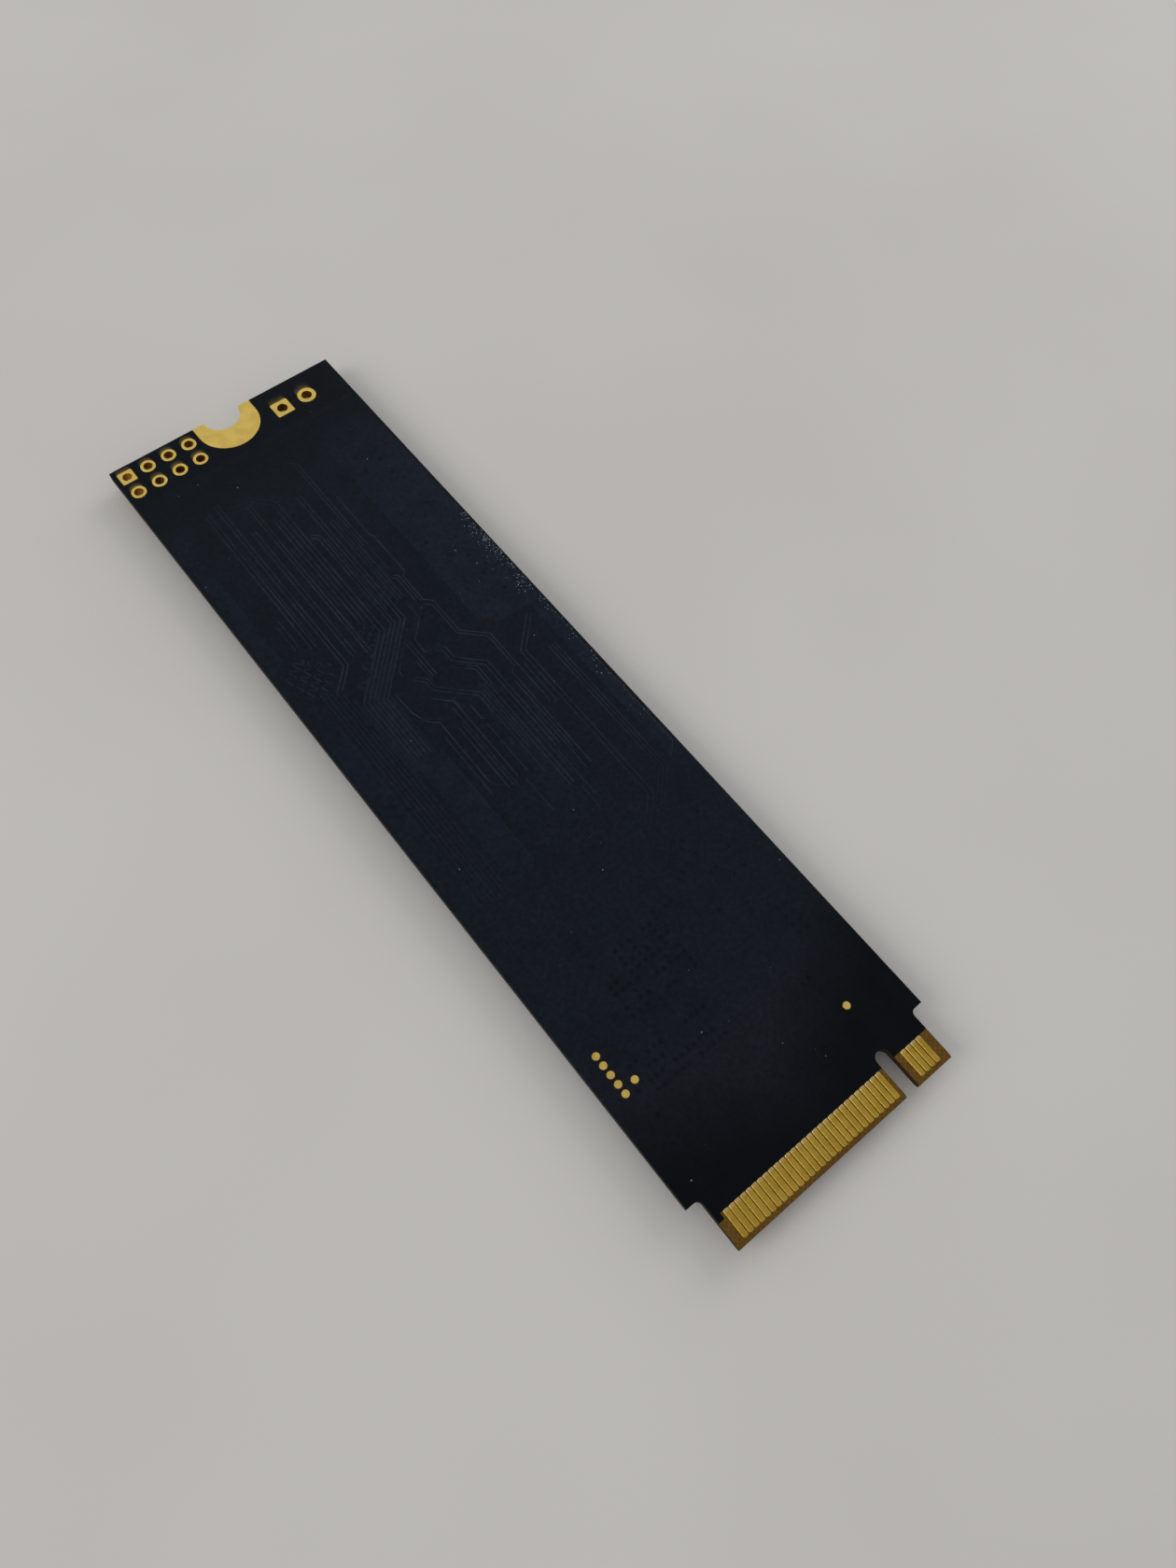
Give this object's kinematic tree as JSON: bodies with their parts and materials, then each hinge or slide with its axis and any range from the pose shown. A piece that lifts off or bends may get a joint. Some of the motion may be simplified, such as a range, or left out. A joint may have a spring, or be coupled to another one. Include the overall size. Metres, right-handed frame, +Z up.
{
  "type": "m.2 solid-state drive module",
  "caption": "Bare M.2 solid-state drive module: black circuit board with gold edge contacts, key slot, plated half-round screw notch, header holes, and memory packages on its lower face.",
  "frame": {"origin": "on the plane that the module rests on, under the middle of the board's 22 by 80 mm outline", "axes": "+X towards the key slot's side, +Y along the board towards the screw notch, +Z up out of the bare back face"},
  "size_m": [0.022, 0.08, 0.002],
  "materials": {
    "glass_epoxy": "satin",
    "solder_mask": "satin",
    "gold_plate": "satin",
    "package_substrate": "satin",
    "mould_compound": "matte",
    "solder": "satin",
    "ferrite": "matte",
    "tin_plate": "satin",
    "capacitor_ceramic": "matte",
    "resistor_glaze": "satin",
    "package_ceramic": "matte"
  },
  "bodies": {
    "root": {"laminate": "glass_epoxy", "solder_mask_back": "solder_mask", "solder_mask_front": "solder_mask", "edge_contacts_back": "gold_plate", "edge_contacts_front": "gold_plate", "mounting_ring": "gold_plate", "header_sleeves": "gold_plate", "jumper_sleeves": "gold_plate", "test_pads": "gold_plate", "flash_1_substrate": "package_substrate", "flash_2_substrate": "package_substrate", "controller_substrate": "package_substrate", "flash_1_mould_cap": "mould_compound", "flash_2_mould_cap": "mould_compound", "controller_mould_cap": "mould_compound", "power_controller_body": "mould_compound", "flash_1_solder_balls": "solder", "flash_2_solder_balls": "solder", "controller_solder_balls": "solder", "power_controller_lands": "solder", "inductor_bodies": "ferrite", "inductor_terminals": "tin_plate", "bulk_capacitor_bodies": "capacitor_ceramic", "bulk_capacitor_terminals": "tin_plate", "decoupling_capacitor_bodies": "capacitor_ceramic", "decoupling_capacitor_terminals": "tin_plate", "coupling_capacitor_bodies": "capacitor_ceramic", "coupling_capacitor_terminals": "tin_plate", "resistor_bodies": "resistor_glaze", "resistor_terminals": "tin_plate", "crystal_base": "package_ceramic", "crystal_lid": "tin_plate"}
  },
  "joints": []
}
